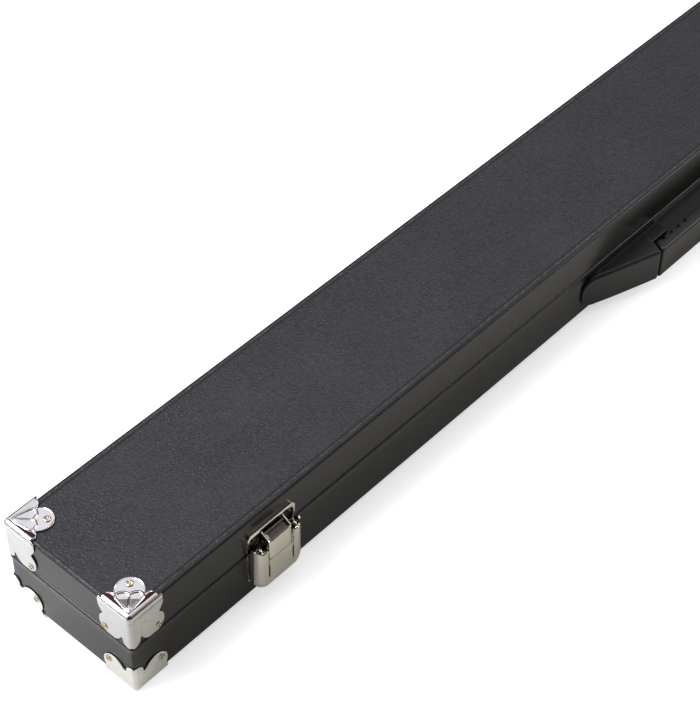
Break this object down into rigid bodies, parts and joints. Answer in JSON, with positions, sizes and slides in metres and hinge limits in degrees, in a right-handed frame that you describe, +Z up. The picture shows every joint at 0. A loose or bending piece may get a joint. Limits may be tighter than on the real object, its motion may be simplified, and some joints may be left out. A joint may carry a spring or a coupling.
{
  "type": "billiard cue case",
  "caption": "Long hard case for a two-piece cue, with hinged lid, draw latches, corner plates and a pull-out handle.",
  "frame": {"origin": "on the floor, in the middle of the whole footprint, handle and hinges included", "axes": "+X along the case, +Y from the latch and handle side to the hinge side, +Z up"},
  "size_m": [0.8628, 0.1013, 0.0552],
  "materials": {
    "plywood": "sawn birch plywood",
    "leathercloth_sheet": "black pebble-grained leathercloth, satin",
    "leathercloth_sides": "smoother black leathercloth, satin",
    "velvet": "short plush over foam",
    "corner_plate": "bright nickel plate",
    "brassed_rivet": "brassed tubular rivet",
    "latch_chrome": "bright nickel plate",
    "steel_rivet": "plated steel rivet",
    "hinge_plate": "nickel plate",
    "plain_steel": "drawn steel",
    "handle_plastic": "moulded black plastic, satin"
  },
  "bodies": {
    "base": {"base_front_wall": "plywood", "base_back_wall": "plywood", "base_left_wall": "plywood", "base_right_wall": "plywood", "base_panel": "plywood", "base_side_cover": "leathercloth_sides", "base_bottom_cover": "leathercloth_sheet", "base_bed": "velvet", "base_corner_front_left": "corner_plate", "base_corner_front_right": "corner_plate", "base_corner_back_left": "corner_plate", "base_corner_back_right": "corner_plate", "base_corner_rivets": "brassed_rivet", "left_latch_plate": "latch_chrome", "right_latch_plate": "latch_chrome", "left_latch_studs": "plain_steel", "right_latch_studs": "plain_steel", "latch_plate_rivets": "steel_rivet", "left_handle_mount": "handle_plastic", "right_handle_mount": "handle_plastic", "handle_screws": "plain_steel", "left_hinge_base_leaf": "hinge_plate", "middle_hinge_base_leaf": "hinge_plate", "right_hinge_base_leaf": "hinge_plate", "left_hinge_pin": "plain_steel", "middle_hinge_pin": "plain_steel", "right_hinge_pin": "plain_steel", "hinge_base_rivets": "steel_rivet"},
    "lid": {"lid_front_wall": "plywood", "lid_back_wall": "plywood", "lid_left_wall": "plywood", "lid_right_wall": "plywood", "lid_panel": "plywood", "lid_side_cover": "leathercloth_sides", "lid_top_cover": "leathercloth_sheet", "lid_pad": "velvet", "lid_corner_front_left": "corner_plate", "lid_corner_front_right": "corner_plate", "lid_corner_back_left": "corner_plate", "lid_corner_back_right": "corner_plate", "lid_corner_rivets": "brassed_rivet", "left_latch_strike": "latch_chrome", "right_latch_strike": "latch_chrome", "latch_strike_rivets": "steel_rivet", "left_hinge_lid_leaf": "hinge_plate", "middle_hinge_lid_leaf": "hinge_plate", "right_hinge_lid_leaf": "hinge_plate", "hinge_lid_rivets": "steel_rivet"},
    "left_lever": {"left_latch_lever": "latch_chrome", "left_latch_claw_pin": "plain_steel"},
    "left_claw": {"left_latch_claw": "latch_chrome"},
    "right_lever": {"right_latch_lever": "latch_chrome", "right_latch_claw_pin": "plain_steel"},
    "right_claw": {"right_latch_claw": "latch_chrome"},
    "grip": {"handle_grip": "handle_plastic", "left_handle_post": "plain_steel", "right_handle_post": "plain_steel"}
  },
  "joints": [
    {"name": "lid_hinge", "type": "hinge", "parent": "base", "child": "lid", "pos_m": [0, 0.04845, 0.0314], "axis": [-1, 0, 0], "range_deg": [0, 170]},
    {"name": "left_lever_pivot", "type": "hinge", "parent": "base", "child": "left_lever", "pos_m": [-0.343, -0.0382, 0.0334], "axis": [-1, 0, 0], "range_deg": [0, 95]},
    {"name": "left_claw_pivot", "type": "hinge", "parent": "left_lever", "child": "left_claw", "pos_m": [-0.343, -0.038, 0.022], "axis": [-1, 0, 0], "range_deg": [-95, 0]},
    {"name": "right_lever_pivot", "type": "hinge", "parent": "base", "child": "right_lever", "pos_m": [0.343, -0.0382, 0.0334], "axis": [-1, 0, 0], "range_deg": [0, 95]},
    {"name": "right_claw_pivot", "type": "hinge", "parent": "right_lever", "child": "right_claw", "pos_m": [0.343, -0.038, 0.022], "axis": [-1, 0, 0], "range_deg": [-95, 0]},
    {"name": "grip_slide", "type": "slide", "parent": "base", "child": "grip", "axis": [0, -1, 0], "range_m": [0, 0.009]}
  ],
  "couplings": [
    {"joint": "left_claw_pivot", "follows": "left_lever_pivot", "ratio": -1},
    {"joint": "right_claw_pivot", "follows": "right_lever_pivot", "ratio": -1}
  ]
}
